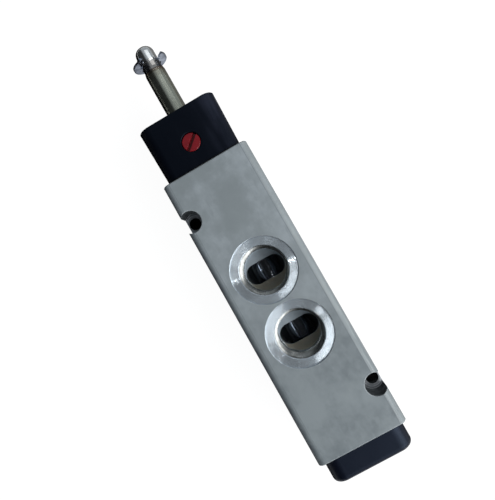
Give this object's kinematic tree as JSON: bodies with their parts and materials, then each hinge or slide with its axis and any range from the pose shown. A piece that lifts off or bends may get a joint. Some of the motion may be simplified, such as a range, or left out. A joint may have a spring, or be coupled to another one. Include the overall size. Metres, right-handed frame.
{
  "type": "pneumatic solenoid valve",
  "caption": "Five-port spool valve with threaded ports, a pilot head with a slotted manual override, and a bare core tube with its coil taken off.",
  "frame": {"origin": "centre of the valve body's flat back face, the face that holds the supply and exhaust ports and that the valve is mounted on", "axes": "+X along the spool towards the pilot head and core tube, +Z out of the front face with the two work ports, +Y across the body to complete a right-handed frame"},
  "size_m": [0.2137, 0.0406, 0.05],
  "materials": {
    "cast_body": "matte blasted casting with turned ports",
    "spool_metal": "black anodised, polished",
    "black_rubber": "smooth moulded rubber",
    "seal_rubber": "moulded sealing disc",
    "natural_plastic": "natural acetal",
    "black_plastic": "fine matte moulded plastic",
    "spring_steel": "drawn wire",
    "screw_steel": "zinc plated",
    "tube_steel": "drawn stainless steel",
    "brass": "machined",
    "plated_clip": "bright zinc plate",
    "red_plastic": "moulded plastic, slightly shiny"
  },
  "bodies": {
    "housing": {"valve_body": "cast_body", "return_spring": "spring_steel", "spring_seat": "natural_plastic", "end_cap": "black_plastic", "cap_gasket": "black_rubber", "cap_screws": "screw_steel", "pilot_head": "black_plastic", "head_gasket": "black_rubber", "head_screws": "screw_steel", "seat_nozzle": "brass", "passage_plugs": "screw_steel", "core_tube": "tube_steel", "tube_seal": "black_rubber", "tube_nut": "brass", "fixed_core": "tube_steel", "plunger_spring": "spring_steel", "retaining_clip": "plated_clip", "override_pin": "screw_steel"},
    "spool_set": {"spool": "spool_metal", "spool_seals": "black_rubber", "pilot_piston": "natural_plastic", "piston_seal": "black_rubber"},
    "plunger_set": {"plunger": "tube_steel", "plunger_seals": "seal_rubber"},
    "override_set": {"override_spindle": "red_plastic", "override_seal": "black_rubber"}
  },
  "joints": [
    {"name": "spool_slide", "type": "slide", "parent": "housing", "child": "spool_set", "axis": [-1, 0, 0], "range_m": [0, 0.0075], "stiffness_N_per_m": 1500, "springref_m": -0.012, "deforming": ["return_spring"]},
    {"name": "plunger_slide", "type": "slide", "parent": "housing", "child": "plunger_set", "axis": [1, 0, 0], "range_m": [0, 0.0015], "stiffness_N_per_m": 300, "springref_m": -0.004, "deforming": ["plunger_spring"]},
    {"name": "override_turn", "type": "hinge", "parent": "housing", "child": "override_set", "pos_m": [0.0773, 0, 0.045], "axis": [0, 0, 1], "range_deg": [0, 90]}
  ]
}
